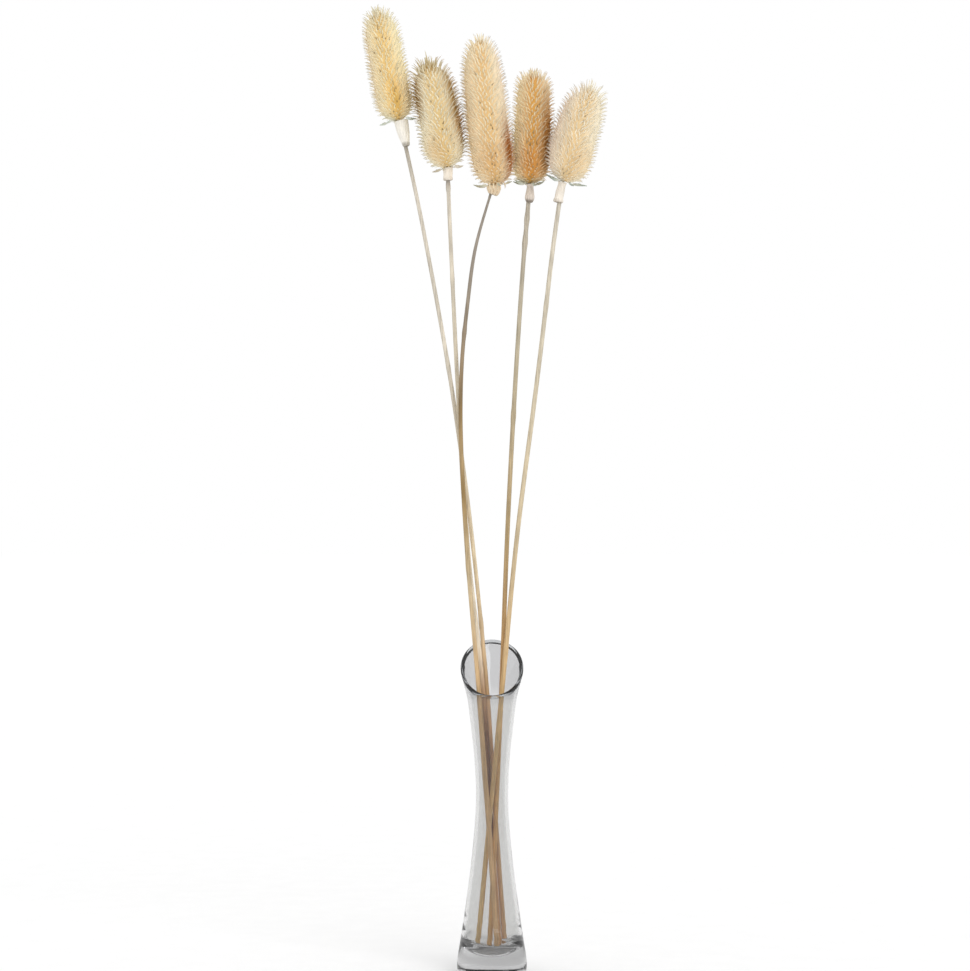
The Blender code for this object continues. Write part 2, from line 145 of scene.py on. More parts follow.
def add_piece(name, points, quads, triangles, *materials):
    """A smooth-shaded object at the origin from whole arrays of points and faces."""
    mesh = bpy.data.meshes.new(name)
    mesh.from_pydata(points, [], quads.tolist() + triangles.tolist())
    mesh.shade_smooth()
    for material in materials:
        mesh.materials.append(material)
    piece = bpy.data.objects.new(name, mesh)
    bpy.context.scene.collection.objects.link(piece)
    return piece


def paint(hexes):
    """An sRGB hex colour as linear RGBA: each channel c is ((c + 0.055) / 1.055) ** 2.4."""
    channels = np.array([int(hexes[k:k + 2], 16) for k in (1, 3, 5)]) / 255
    linear = np.where(channels > 0.04045, ((channels + 0.055) / 1.055) ** 2.4, channels / 12.92)
    return (*linear.tolist(), 1.0)


def add(tree, kind, settings=None, inputs=None):
    """Adds a node, sets its properties, and gives each input a value or a link from another node's
    output. A setting called stops fills a colour ramp with (place, colour) pairs."""
    node = tree.nodes.new(kind)
    for name, value in (settings or {}).items():
        if name == "stops":
            ramp = node.color_ramp.elements
            while len(ramp) < len(value):
                ramp.new(1.0)
            for stop, (place, colour) in zip(ramp, value):
                stop.position, stop.color = place, colour
        else:
            setattr(node, name, value)
    for name, value in (inputs or {}).items():
        if isinstance(value, bpy.types.NodeSocket):
            tree.links.new(value, node.inputs[name])
        else:
            node.inputs[name].default_value = value
    return node


def new_material(name):
    """An empty node material, with its tree and its output node."""
    material = bpy.data.materials.new(name)
    material.use_nodes = True
    material.node_tree.nodes.clear()
    return material, material.node_tree, add(material.node_tree, "ShaderNodeOutputMaterial")


def vase_skin():
    """The whole skin of the glass in one grid, (row, angle): up the outside, over the lip as half a
    turn across the wall's thickness, down the inside, and over the bowl, a quarter of an ellipse. The
    inside of the foot has waves, a sine of height and angle that fades in a bell of the height."""
    angle = np.linspace(0, 2 * np.pi, VASE_COLUMNS, endpoint=False)
    level = np.concatenate([12 * MM * np.linspace(0, 1, 12) ** 2, np.linspace(12 * MM, SLANT_FROM, 64)[1:]])
    share = np.linspace(0, 1, 40)[1:, None]
    flat = np.ones_like(angle)

    outer_top = mouth_height(angle, 0.0) - LIP_ROUNDING
    inner_top = mouth_height(angle, GLASS_WALL) - LIP_ROUNDING
    over = np.linspace(0, np.pi, 11)[1:-1, None]
    lip_inset = GLASS_WALL / 2 * (1 - np.cos(over))
    lip = np.array([mouth_height(angle, inset) for inset in lip_inset[:, 0]])
    inside = level[level > BOWL_RIM_HEIGHT + 2 * MM][::-1]
    height = np.concatenate([
        level[:, None] * flat,
        SLANT_FROM + share * (outer_top - SLANT_FROM),
        lip - LIP_ROUNDING * (1 - np.sin(over)),
        SLANT_FROM + share[::-1] * (inner_top - SLANT_FROM),
        inside[:, None] * flat,
    ])
    inset = np.concatenate([
        np.zeros(len(level) + len(share)), lip_inset[:, 0], np.full(len(share) + len(inside), GLASS_WALL)
    ])[:, None]
    ripple = RIPPLE * (1 + np.sin(3 * angle + height / (14 * MM)) * np.sin(height / (23 * MM)))
    radius = glass_radius(height, inset) - np.where(inset == 0, ripple, 0)

    down = np.linspace(0, np.pi / 2, 22)[:-1, None]
    bowl_radius = glass_radius(BOWL_RIM_HEIGHT, GLASS_WALL) * np.cos(down)
    bowl_height = BOWL_RIM_HEIGHT - (BOWL_RIM_HEIGHT - BOWL_FLOOR_HEIGHT) * np.sin(down)
    under = np.linspace(0, 1, 12)[1:, None]
    under_radius = FOOT_HOLLOW_RADIUS * under
    under_height = FOOT_HOLLOW * (1 - under**2)
    radius = np.concatenate([under_radius * flat, radius, bowl_radius * flat])
    height = np.concatenate([under_height * flat, height, bowl_height * flat])
    inner = len(under) + len(level) + len(share) + len(lip)
    waves = np.exp(-(((height - SWIRL_HEIGHT) / SWIRL_SPREAD) ** 2)) * np.sin(height / (1.4 * MM) + 2 * angle)
    radius[inner:] += SWIRL * waves[inner:]
    points = turned_skin(radius, height, angle, (0, 0, FOOT_HOLLOW), (0, 0, BOWL_FLOOR_HEIGHT))
    return points, *outward(points, *skin_faces(len(radius), VASE_COLUMNS))


# Clear soda-lime glass, fire-polished: sharp reflections, slight waves from the mould, and a faint grey
# that deepens where the light runs a long way through the foot. About the mouth the glass is painted a
# shade greyer, and the lip, ground and then melted smooth, greyer still: painted shade and dark reflection.
def glass_material(name, tint, mouth_shaded_tint, wave):
    material, tree, output = new_material(name)
    place = add(tree, "ShaderNodeTexCoord").outputs["Object"]
    height = add(tree, "ShaderNodeSeparateXYZ", inputs={"Vector": place}).outputs["Z"]
    # painted shade: the glass is painted greyer towards the mouth
    depth = add(tree, "ShaderNodeMapRange", {"interpolation_type": "SMOOTHSTEP"}, {
        "Value": height, "From Min": GREYER_FROM, "From Max": GREYER_TO})
    colour = add(tree, "ShaderNodeMix", {"data_type": "RGBA"}, {
        0: depth.outputs["Result"], 6: paint(tint), 7: paint(mouth_shaded_tint)}).outputs[2]
    smears = add(tree, "ShaderNodeTexNoise", inputs={"Vector": place, "Scale": 1 / (18 * MM), "Detail": 3.0})
    waves = add(tree, "ShaderNodeTexNoise", inputs={"Vector": place, "Scale": 1 / (9 * MM), "Detail": 1.0})
    wipe = add(tree, "ShaderNodeMapRange", inputs={
        "Value": smears.outputs["Fac"], "From Min": 0.45, "From Max": 0.8, "To Min": 0.0, "To Max": 0.05})
    relief = add(tree, "ShaderNodeBump", inputs={
        "Height": waves.outputs["Fac"], "Strength": wave, "Distance": 0.3 * MM})
    shader = add(tree, "ShaderNodeBsdfPrincipled", inputs={
        "Base Color": colour, "Roughness": wipe.outputs["Result"], "IOR": 1.51,
        "Transmission Weight": 1.0, "Normal": relief.outputs["Normal"]})
    grey = add(tree, "ShaderNodeVolumeAbsorption", inputs={
        "Color": paint("#D6D6D8"), "Density": GLASS_DENSITY})
    tree.links.new(shader.outputs["BSDF"], output.inputs["Surface"])
    tree.links.new(grey.outputs["Volume"], output.inputs["Volume"])
    return material


skin = vase_skin()
vase = add_piece("glass_bud_vase", *skin,
                 glass_material("clear soda-lime glass", "#E3E3E2", "#C9C9CA", 0.12),
                 glass_material("glass lip painted grey", "#C4C6C8", "#C4C6C8", 0.3))
# the lip is the faces within the wall's thickness, less a little, of the slanted cut
middles = skin[0][skin[1]].mean(1)
around = np.arctan2(middles[:, 1], middles[:, 0])
on_lip = middles[:, 2] > mouth_height(around, GLASS_WALL / 2) - LIP_DEPTH
vase.data.polygons.foreach_set("material_index", np.append(on_lip, np.zeros(len(skin[2]), bool)).astype(int))
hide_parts("vase")
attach(vase, "root")

# ---------------------------------------------------------------------------------------------------
# The five sticks
# Thin peeled willow sticks, bleached and dried, each a little bent, with long grain and a few nodes.
# They stand loose in the vase, crossing in its waist, and the top of each goes into its head's stalk.
# ---------------------------------------------------------------------------------------------------
STICK_COLUMNS = 16
STICK_ROWS = 190
FRAME_STICK_SIDES = 8
RIDGE = 0.035  # share of the radius by which the grain's ridges stand out
# flower: (nodes as (height, swelling, length) in millimetres, colours as (height in mm, hex)). Below the
# rim the colours are painted stronger and warmer: painted light, making up for the light that the grey
# glass in front of them takes.
STICKS = {
    1: ([(262, 0.18, 5), (285, -0.12, 40), (455, 0.15, 4)],
        [(15, "#F8C994"), (198, "#FCD0A2"), (212, "#D8B58A"), (300, "#ECD8B4"), (450, "#E2D8C6"),
         (608, "#DCD3C4"), (622, "#B4AC9E")]),
    # stick 2: dark brown from about 110 to 180 mm, painted shade where it shows in the gap between the
    # crossing sticks
    2: ([(285, -0.14, 40), (330, 0.15, 5), (520, 0.14, 4), (589, 0.3, 3)],
        [(15, "#F0B87C"), (85, "#EAB07A"), (110, "#8C5C34"), (180, "#966840"), (205, "#D0A47A"),
         (245, "#F4E6CE"), (295, "#EFE0C4"), (345, "#C9AD80"), (440, "#E0D3BA"), (586, "#E8DECD"),
         (592, "#BDB3A6")]),
    # stick 3: darker from about 360 to 425 mm, painted shade where it passes behind the other sticks
    3: ([(275, -0.08, 40), (305, 0.16, 5), (480, 0.20, 4), (585, -0.3, 45)],
        [(15, "#FCCC92"), (198, "#FFD49C"), (212, "#E0BA8A"), (290, "#DAC49E"), (360, "#A98A58"),
         (385, "#BCA074"), (425, "#917850"), (455, "#A38D70"), (510, "#9E9282"), (555, "#AEA396"),
         (600, "#8B8477")]),
    4: ([(418, 0.20, 5), (548, 0.32, 5), (566, 0.28, 4)],
        [(15, "#FAC680"), (198, "#F8C480"), (212, "#CE9F66"), (330, "#C6AC80"), (470, "#C6BAA0"),
         (600, "#CBC1B1")]),
    5: ([(240, 0.16, 5), (500, 0.15, 4)],
        [(15, "#FFD898"), (198, "#FFD696"), (212, "#E2BC86"), (330, "#DECAA6"), (470, "#DDD1B9"),
         (600, "#E2D9C8")]),
}


def corners_of(node):
    """The different corners of a frame node's mesh, lowest first."""
    mesh = cad_nodes[node].data
    flat = np.empty(len(mesh.vertices) * 3)
    mesh.vertices.foreach_get("co", flat)
    corners = np.unique(flat.reshape(-1, 3).round(7), axis=0)
    return corners[np.argsort(corners[:, 2])]


def stick_line(number):
    """A stick's middle line and radius as functions of height. The frame's stick is a row of rings of
    eight corners: each ring gives a centre and a radius, and the line is a smooth curve through them.
    A ring that has lost a corner, where the frame's stick is straight, is passed over."""
    corners = corners_of(f"stick_{number}")
    rings = np.split(corners, np.flatnonzero(np.diff(corners[:, 2]) > 2 * MM) + 1)
    rings = np.array([ring for ring in rings if len(ring) == FRAME_STICK_SIDES])
    centres = rings.mean(1)
    radii = np.linalg.norm(rings - centres[:, None], axis=-1).mean(1)

    def line(height):
        return np.stack([smooth_through(height, centres[:, 2], centres[:, k]) for k in (0, 1)] + [height], -1)

    return line, lambda height: np.interp(height, centres[:, 2], radii), centres[0, 2], centres[-1, 2]


def tube_rings(centre, ahead, angle, radius):
    """Rings of points round a line: at each angle, radius * (cos, sin) along two directions that are
    square to the line's own and to each other."""
    ahead = ahead / np.linalg.norm(ahead, axis=1, keepdims=True)
    side = np.cross([0.0, 1.0, 0.0], ahead)
    side /= np.linalg.norm(side, axis=1, keepdims=True)
    front = np.cross(ahead, side)
    return centre[:, None] + radius[..., None] * (
        np.cos(angle)[None, :, None] * side[:, None] + np.sin(angle)[None, :, None] * front[:, None])


def stick_skin(number, nodes):
    """A tube along the stick's line. Its radius swells in a bell at each node and carries five low
    ridges that twist slowly, a sine of the angle; both ends are cut square."""
    line, thickness, foot, top = stick_line(number)
    height = np.linspace(foot, top, STICK_ROWS)
    centre = line(height)
    angle = np.linspace(0, 2 * np.pi, STICK_COLUMNS, endpoint=False)
    swell = sum(share * np.exp(-((height / MM - at) / length) ** 2) for at, share, length in nodes)
    socket = np.clip((top - height) / (8 * MM), 0, 1)  # plain where it goes into the stalk
    ridges = RIDGE * np.sin(5 * angle + height[:, None] / (45 * MM) + number)
    radius = thickness(height)[:, None] * (0.96 + (ridges + swell[:, None]) * socket[:, None])
    rings = tube_rings(centre, np.gradient(centre, axis=0), angle, radius)
    points = np.concatenate([centre[:1], rings.reshape(-1, 3), centre[-1:]])
    return points, *outward(points, *skin_faces(STICK_ROWS, STICK_COLUMNS))


def dry_finish(tree, output, colour, fibres, relief, patches, roughness, gloss):
    """Ends a matt plant material. The fibres are raised by relief, (strength, depth); the patches spread
    the roughness between its two values; gloss is the specular level."""
    bump = add(tree, "ShaderNodeBump", inputs={
        "Height": fibres.outputs["Fac"], "Strength": relief[0], "Distance": relief[1]})
    rough = add(tree, "ShaderNodeMapRange", inputs={
        "Value": patches.outputs["Fac"], "To Min": roughness[0], "To Max": roughness[1]})
    shader = add(tree, "ShaderNodeBsdfPrincipled", inputs={
        "Base Color": colour, "Roughness": rough.outputs["Result"], "Normal": bump.outputs["Normal"],
        "Specular IOR Level": gloss})
    tree.links.new(shader.outputs["BSDF"], output.inputs["Surface"])


# Peeled willow, bleached: dry and matt, fine dark grain lines a fraction of a millimetre apart drawn
# out along the stick, blotches, and a greyer, weathered top. Lower down, below the vase's rim, the colour
# is painted stronger and warmer: painted light. The dark bands low on stick 2 and part-way up stick 3
# are painted shade.
def stick_material(number, colours):
    material, tree, output = new_material(f"bleached willow {number}")
    place = add(tree, "ShaderNodeTexCoord").outputs["Object"]
    height = add(tree, "ShaderNodeSeparateXYZ", inputs={"Vector": place}).outputs["Z"]
    top = colours[-1][0] * MM
    share = add(tree, "ShaderNodeMath", {"operation": "DIVIDE"}, {0: height, 1: top}).outputs[0]
    stops = [(at * MM / top, paint(colour)) for at, colour in colours]
    along = add(tree, "ShaderNodeValToRGB", {"stops": stops}, {"Fac": share}).outputs["Color"]
    stretch = add(tree, "ShaderNodeMapping", inputs={"Vector": place, "Scale": (1.0, 1.0, 0.03)})
    grain = add(tree, "ShaderNodeTexNoise", inputs={  # real grain is 0.2 mm, drawn at 0.7 mm so that it shows
        "Vector": stretch.outputs["Vector"], "Scale": 1 / (0.7 * MM), "Detail": 3.0, "Roughness": 0.6})
    blotch = add(tree, "ShaderNodeTexNoise", inputs={"Vector": place, "Scale": 1 / (22 * MM), "Detail": 2.0})
    lines = add(tree, "ShaderNodeMapRange", inputs={
        "Value": grain.outputs["Fac"], "From Min": 0.35, "From Max": 0.7, "To Min": 0.66, "To Max": 1.08})
    patches = add(tree, "ShaderNodeMapRange", inputs={
        "Value": blotch.outputs["Fac"], "From Min": 0.3, "From Max": 0.7, "To Min": 0.86, "To Max": 1.06})
    shade = add(tree, "ShaderNodeMath", {"operation": "MULTIPLY"},
                {0: lines.outputs["Result"], 1: patches.outputs["Result"]}).outputs[0]
    colour = add(tree, "ShaderNodeMix", {"data_type": "RGBA", "blend_type": "MULTIPLY"},
                 {0: 1.0, 6: along, 7: shade}).outputs[2]
    dry_finish(tree, output, colour, grain, (0.5, 0.15 * MM), grain, (0.55, 0.85), 0.35)
    return material


for number, (nodes, colours) in STICKS.items():
    stick = add_piece(f"willow_stick_{number}", *stick_skin(number, nodes), stick_material(number, colours))
    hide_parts(f"stick_{number}")
    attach(stick, "root")

# ---------------------------------------------------------------------------------------------------
# The stalk stubs
# Each head keeps a short stub of its own hollow, ribbed stalk, bleached ivory. It is cut off square
# with a knife, which leaves a greyer, slightly ragged ring, and the stick is pushed up inside it.
# ---------------------------------------------------------------------------------------------------
STALK_COLUMNS = 60
STALK_RIBS = 10
SOCKET_DEPTH = 5.0 * MM
# flower: radii from the head down as (share of the way, millimetres), depth of the ribs as a share of the
# radius, colours of the stub and of its cut ring
STALKS = {
    1: ([(0, 5.4), (0.15, 5.2), (0.55, 4.4), (0.82, 3.3), (1, 2.5)], 0.06, "#FBF6EC", "#B8B2A6"),
    2: ([(0, 4.0), (0.15, 3.7), (0.60, 3.4), (0.90, 3.6), (1, 3.3)], 0.06, "#F8EEDF", "#C9BEB0"),
    3: ([(0, 4.8), (0.20, 5.3), (0.60, 4.9), (0.88, 4.0), (1, 3.3)], 0.30, "#F2DCBC", "#B9AC96"),
    4: ([(0, 3.4), (0.12, 2.6), (0.45, 3.1), (0.70, 3.6), (0.88, 3.2), (1, 2.3)], 0.06, "#E2D6CA", "#8F8478"),
    5: ([(0, 3.3), (0.12, 2.9), (0.50, 3.3), (0.82, 3.3), (0.90, 3.8), (1, 3.6)], 0.06, "#F6EDE0", "#A39583"),
}


def head_frame(number):
    """A head's seat, its crown, and its own directions right, back and up. The frame's head is even all
    round, so its longest direction is its axis; its seat is the flat ring closest to the stalk."""
    corners = corners_of(f"head_{number}")
    middle = corners.mean(0)
    spread, directions = np.linalg.eigh(np.cov((corners - middle).T))
    up = directions[:, -1] * np.sign(directions[2, -1])
    along = (corners - middle) @ up
    off = np.linalg.norm(corners - middle - along[:, None] * up, axis=1)
    seat = middle + along[(off < 4.7 * MM) & (along < 0)].min() * up
    right = np.array([1.0, 0.0, 0.0]) - up[0] * up
    right /= np.linalg.norm(right)
    return seat, middle + along.max() * up, np.stack([right, np.cross(up, right), up])


def stalk_ends(number, seat, up):
    """The middles of the stalk's top ring and of its cut face: of the frame's stalk, the ten corners
    that stand highest along the head, and the ten furthest from the seat."""
    corners = corners_of(f"stalk_{number}")
    top = corners[np.argsort((seat - corners) @ up)[:10]].mean(0)
    far = np.linalg.norm(corners - seat, axis=1)
    return top, corners[np.argsort(far)[-10:]].mean(0)


def stalk_skin(number, radii, rib_depth):
    """A tube from a pole at the seat down to the cut, round the lip, and up the inside to a blind end.
    Its radius follows a smooth curve, times a cosine of the angle for the ribs, which fade at the head."""
    seat, _, axes = head_frame(number)
    line, thickness, _, top = stick_line(number)
    start, cut_at = stalk_ends(number, seat, axes[2])
    stick_way = line(np.array([top])) - line(np.array([top - 8 * MM]))
    stick_way = stick_way[0] / np.linalg.norm(stick_way)
    down = np.linspace(0, 1, 34)
    hollow = thickness(np.array([top]))[0] + 0.12 * MM
    length = np.linalg.norm(cut_at - seat)
    # the middle line leaves the seat along the head's axis and arrives along the stick
    t = down[:, None]
    centre = ((1 - t) ** 3 * start + 3 * (1 - t) ** 2 * t * (start - axes[2] * length / 3)
              + 3 * (1 - t) * t**2 * (cut_at + stick_way * length / 3) + t**3 * cut_at)
    shares, widths = np.array(radii).T
    profile = smooth_through(down, shares, widths * MM)
    inner = np.linspace(0, 1, 6)
    centre = np.concatenate([centre, cut_at + stick_way * inner[:, None] * SOCKET_DEPTH])
    radius = np.concatenate([profile, np.full(len(inner), hollow)])
    radius[len(profile) - 1] -= 0.25 * MM
    ahead = np.concatenate([np.gradient(centre[:len(down)], axis=0), np.tile(-stick_way, (len(inner), 1))])
    angle = np.linspace(0, 2 * np.pi, STALK_COLUMNS, endpoint=False)
    fade = np.concatenate([np.clip(down / 0.3, 0.2, 1), np.zeros(len(inner))])[:, None]
    ribs = 1 - rib_depth * fade * (0.5 - 0.5 * np.cos(STALK_RIBS * angle)) ** 2
    rings = tube_rings(centre, ahead, angle, radius[:, None] * ribs)
    ragged = 0.18 * MM * np.sin(angle * 7 + number) * np.sin(angle * 3)
    near_cut = np.exp(-((np.arange(len(radius)) - len(down)) / 1.5) ** 2)
    rings += near_cut[:, None, None] * ragged[None, :, None] * stick_way
    points = np.concatenate([centre[:1], rings.reshape(-1, 3), centre[-1:]])
    return points, *outward(points, *skin_faces(len(radius), STALK_COLUMNS)), cut_at


# Bleached plant stalk: papery and matt, ivory with pale fibres along the ribs, stained grey where it
# is cut, over the last two millimetres.
def stalk_material(number, body, ring, cut_at):
    material, tree, output = new_material(f"bleached ribbed stalk {number}")
    place = add(tree, "ShaderNodeTexCoord").outputs["Object"]
    away = add(tree, "ShaderNodeVectorMath", {"operation": "DISTANCE"},
               {0: place, 1: tuple(cut_at.tolist())}).outputs["Value"]
    stretch = add(tree, "ShaderNodeMapping", inputs={"Vector": place, "Scale": (1.0, 1.0, 0.12)})
    fibres = add(tree, "ShaderNodeTexNoise", inputs={
        "Vector": stretch.outputs["Vector"], "Scale": 1 / (0.8 * MM), "Detail": 3.0})
    blotch = add(tree, "ShaderNodeTexNoise", inputs={"Vector": place, "Scale": 1 / (4 * MM), "Detail": 2.0})
    edge = add(tree, "ShaderNodeMath", {"operation": "MULTIPLY_ADD"},
               {0: blotch.outputs["Fac"], 1: -2.5 * MM, 2: away}).outputs[0]
    stained = add(tree, "ShaderNodeMapRange", {"interpolation_type": "SMOOTHSTEP"}, {
        "Value": edge, "From Min": 1.4 * MM, "From Max": 3.4 * MM, "To Min": 1.0, "To Max": 0.0})
    colour = add(tree, "ShaderNodeMix", {"data_type": "RGBA"}, {
        0: stained.outputs["Result"], 6: paint(body), 7: paint(ring)}).outputs[2]
    streak = add(tree, "ShaderNodeMapRange", inputs={
        "Value": fibres.outputs["Fac"], "From Min": 0.3, "From Max": 0.7, "To Min": 0.84, "To Max": 1.05})
    colour = add(tree, "ShaderNodeMix", {"data_type": "RGBA", "blend_type": "MULTIPLY"},
                 {0: 1.0, 6: colour, 7: streak.outputs["Result"]}).outputs[2]
    dry_finish(tree, output, colour, fibres, (0.4, 0.2 * MM), blotch, (0.6, 0.9), 0.3)
    return material


for number, (radii, rib_depth, body, ring) in STALKS.items():
    *skin, cut_at = stalk_skin(number, radii, rib_depth)
    stalk = add_piece(f"stalk_stub_{number}", *skin, stalk_material(number, body, ring, cut_at))
    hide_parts(f"stalk_{number}")
    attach(stalk, "root")

# ---------------------------------------------------------------------------------------------------
# The five heads
# Dried seed heads of fuller's teasel: a papery cone set all round, in crossing spirals, with stiff
# scales, each drawn out to a spine that grows up the cone and hooks outward. Bleached, then dried.
# ---------------------------------------------------------------------------------------------------
GOLDEN_ANGLE = math.pi * (3 - math.sqrt(5))  # between one spine and the next round the cone
SPINE_CELL = 7.2 * MM**2  # area of the cone for each spine
SPINE_STATIONS = 8
SCALE_WIDTH = 2.2 * MM
AWN_WIDTH = 1.3 * MM
SPINE_THICKNESS = 0.6  # of its width
ROOT_DEPTH = 0.4 * MM  # of a spine's root below the face of the cone
SPINE_BEND = 1.2  # a spine keeps its first slope for longer, the greater this is
CORE_GROWTH = 1.03  # radius of the papery cone over the plain radius
FLECK = "#8C6F42"  # the few spines at the front and back that have stayed brown
FLECK_CHANCE = 0.08
HOOK_ROW = 2.6 * MM  # the hooks stand in rows this far apart at the two sides of a head
CORE_ROWS = 60
CORE_COLUMNS = 48
# how a spine grows, by its root's share of the way up the cone: degrees above level at the root and
# at the tip, and length in millimetres
SPINE_GROWTH = np.array([
    (0.00, 0, -35, 4.5), (0.04, 30, -28, 5.4), (0.12, 55, -18, 6.2), (0.28, 66, -8, 6.2),
    (0.70, 68, -4, 6.2), (0.86, 70, 10, 6.6), (0.95, 76, 34, 7.0), (1.00, 86, 70, 7.0),
])
# reach, widest, base, crown, narrowing: radius without spines, where the cone is widest (share of its
#   height), how square its base and crown are, and the share by which it is narrower at the crown
# sway: how far its middle line stands to the right of the frame's axis, in millimetres, at the seat, the
#   middle and the crown; stretch: the spines' length at the crown
# root, body: colours of a spine; hooks: of its outer end, at the left and right of the head, dark as
# painted shade on the hooks' undersides
# patches: colours laid over the body's, (hex, angle round the head with -90 at the front, share of
#   height, spreads of both, strength); the brown ones at the edges of heads 2, 3 and 4 are partly
#   painted shade. gaps: the same, only down between the spines' roots; those of heads 2, 3 and 4 are
#   painted shade. specks: brown spines, (angle, share, spreads, chance)
# shag: longer spines, (angle, share, spreads, extra). strays: single long spines (angle, share of height,
#   degrees above level at root and tip, millimetres)
HEADS = {
    1: dict(reach=12.2, widest=0.30, base=4.0, crown=9.0, narrowing=0.08, sway=(0.0, -0.4, 0.0), stretch=1.0,
            slot="head_cream_yellow", root="#EECB86", body="#FFF7D6", hooks=("#BDB696", "#C4B48C"),
            patches=[("#F3DFC0", 180, 0.5, 45, 0.7, 0.7), ("#FBE08C", -76, 0.18, 24, 0.15, 0.65),
                     ("#FFF0CC", -22, 0.18, 36, 0.25, 0.95), ("#EBE4CC", -90, 1.0, 200, 0.12, 0.7),
                     ("#D0D4C4", 200, 0.0, 50, 0.05, 0.7)],
            gaps=[("#C49A38", -80, 0.16, 10, 0.14, 0.45)],
            specks=[(-76, 0.18, 6, 0.10, 0.9)], shag=[],
            strays=[(-120, 0.98, 80, 30, 9.5), (-60, 1.0, 86, 40, 9.5), (170, 0.97, 60, 20, 8.5)]),
    # head 2: the brown patches, gaps and dark hooks at its two edges are partly painted shade
    2: dict(reach=14.4, widest=0.40, base=4.2, crown=5.0, narrowing=0.05, sway=(0.0, 0.7, 0.0), stretch=1.2,
            slot="head_olive_beige", root="#E6C990", body="#FFFAE4", hooks=("#94783C", "#AA803C"),
            patches=[("#C69C50", 190, 0.72, 28, 0.20, 0.9), ("#CCAA6C", -10, 0.74, 30, 0.17, 0.7),
                     ("#D09844", -14, 0.38, 26, 0.16, 0.8), ("#C6B078", -90, 0.97, 200, 0.06, 0.7),
                     ("#F3DAAC", -130, 0.15, 40, 0.16, 0.6)],
            gaps=[("#A67C30", -18, 0.60, 32, 0.36, 1.0), ("#8E6620", 192, 0.70, 30, 0.22, 1.0)],
            specks=[(-10, 0.45, 25, 0.3, 0.2), (178, 0.65, 25, 0.2, 0.2)],
            shag=[(-5, 0.55, 35, 0.30, 0.24), (178, 0.72, 35, 0.22, 0.30)],
            strays=[(-85, 1.0, 84, 110, 12.5), (-150, 0.98, 76, 50, 10.5), (-30, 0.97, 70, 20, 10.0)]),
    # head 3: the deep brown patch and gap low on its right are painted shadow, where head 4 stands next to it
    3: dict(reach=14.5, widest=0.40, base=6.0, crown=5.0, narrowing=0.12, sway=(0.0, -1.1, 0.0), stretch=1.05,
            slot="head_peach_cream", root="#E8C48A", body="#FFF6DC", hooks=("#B8B096", "#8D8272"),
            patches=[("#F3D6A8", 180, 0.4, 50, 0.6, 0.7), ("#BA6E18", -20, 0.20, 24, 0.18, 1.0),
                     ("#FBEADC", 5, 0.75, 40, 0.3, 0.7), ("#EDCD9C", -100, 0.14, 60, 0.14, 0.45)],
            gaps=[("#9E5A0A", -26, 0.22, 26, 0.20, 1.0)],
            specks=[(-75, 0.36, 5, 0.015, 6.0), (-90, 0.06, 50, 0.07, 0.3)], shag=[],
            strays=[(-152, 0.012, -50, -105, 6.0), (-128, 0.018, -55, -110, 7.0),
                    (-108, 0.012, -60, -100, 6.5), (-84, 0.015, -50, -108, 7.5),
                    (-62, 0.010, -60, -100, 6.5), (-40, 0.016, -52, -112, 7.0),
                    (-20, 0.012, -50, -100, 6.0)]),
    # head 4: the brown patch and gap on its right are partly painted shade
    4: dict(reach=13.2, widest=0.42, base=5.2, crown=18.0, narrowing=0.20, sway=(0.0, 0.9, 0.2), stretch=1.0,
            slot="head_golden_tan", root="#DEA854", body="#FFF5D6", hooks=("#D0B682", "#AA7E34"),
            patches=[("#CC923E", -22, 0.45, 34, 0.40, 0.85), ("#EDBA6C", -90, 0.16, 60, 0.18, 0.6),
                     ("#FFF0CC", 190, 0.45, 62, 0.6, 0.9), ("#F3E4C6", -90, 0.98, 200, 0.09, 0.7),
                     ("#C6CAB4", -90, 0.0, 400, 0.035, 0.85)],
            gaps=[("#A86C16", -36, 0.42, 34, 0.42, 0.85)],
            specks=[(-70, 0.12, 40, 0.12, 0.3), (-40, 0.5, 40, 0.3, 0.15)], shag=[], strays=[]),
    5: dict(reach=15.1, widest=0.48, base=4.4, crown=4.6, narrowing=0.12, sway=(0.2, -1.1, 1.0), stretch=1.35,
            slot="head_pale_ivory", root="#E8CC9C", body="#FFF8E4", hooks=("#BDB5A4", "#C2B69C"),
            patches=[("#F0DFD0", 180, 0.5, 50, 0.7, 0.8), ("#FAE3B8", -40, 0.2, 50, 0.2, 0.6),
                     ("#D5D8CC", 190, 0.0, 60, 0.06, 0.6)],
            gaps=[], specks=[(-95, 0.07, 35, 0.05, 0.6)], shag=[],
            strays=[(-40, 0.93, 60, 5, 12.0), (-20, 0.9, 56, -5, 11.0), (-100, 1.0, 86, 50, 11.0)]),
}
ROOT_SHADE_AT_SIDES = 0.15  # how much of the root's darker colour is left at the sides of a head


def plain_radius(share, head):
    """Radius of a head without its spines: a rounded end below its widest place and another above,
    each reach * sqrt(1 - u ** bluntness), where u goes from 0 at the widest place to 1 at the end."""
    below = np.clip((head["widest"] - share) / head["widest"], 0, 1) ** head["base"]
    climb = np.clip((share - head["widest"]) / (1 - head["widest"]), 0, 1)
    above = climb ** head["crown"]
    return head["reach"] * MM * (1 - head["narrowing"] * climb) * np.sqrt(np.clip(1 - below - above, 0, 1))


def core_radius(share, head):
    """Radius of the papery cone that carries the spines."""
    return plain_radius(share, head) * CORE_GROWTH


def bells(spots, turn, share):
    """The sum of bells round each spot's angle and height, by its two spreads and its strength."""
    total = 0
    for angle, height, wide, tall, strength in spots:
        off = np.angle(np.exp(1j * (turn - math.radians(angle))))
        total += strength * np.exp(-((off / math.radians(wide)) ** 2) - ((share - height) / tall) ** 2)
    return total


def sideways(turn):
    """1 at the left and right of a head, 0 at its front and back, with a smooth step between."""
    step = np.clip((np.abs(np.cos(turn)) - 0.74) / 0.2, 0, 1)
    return step * step * (3 - 2 * step)


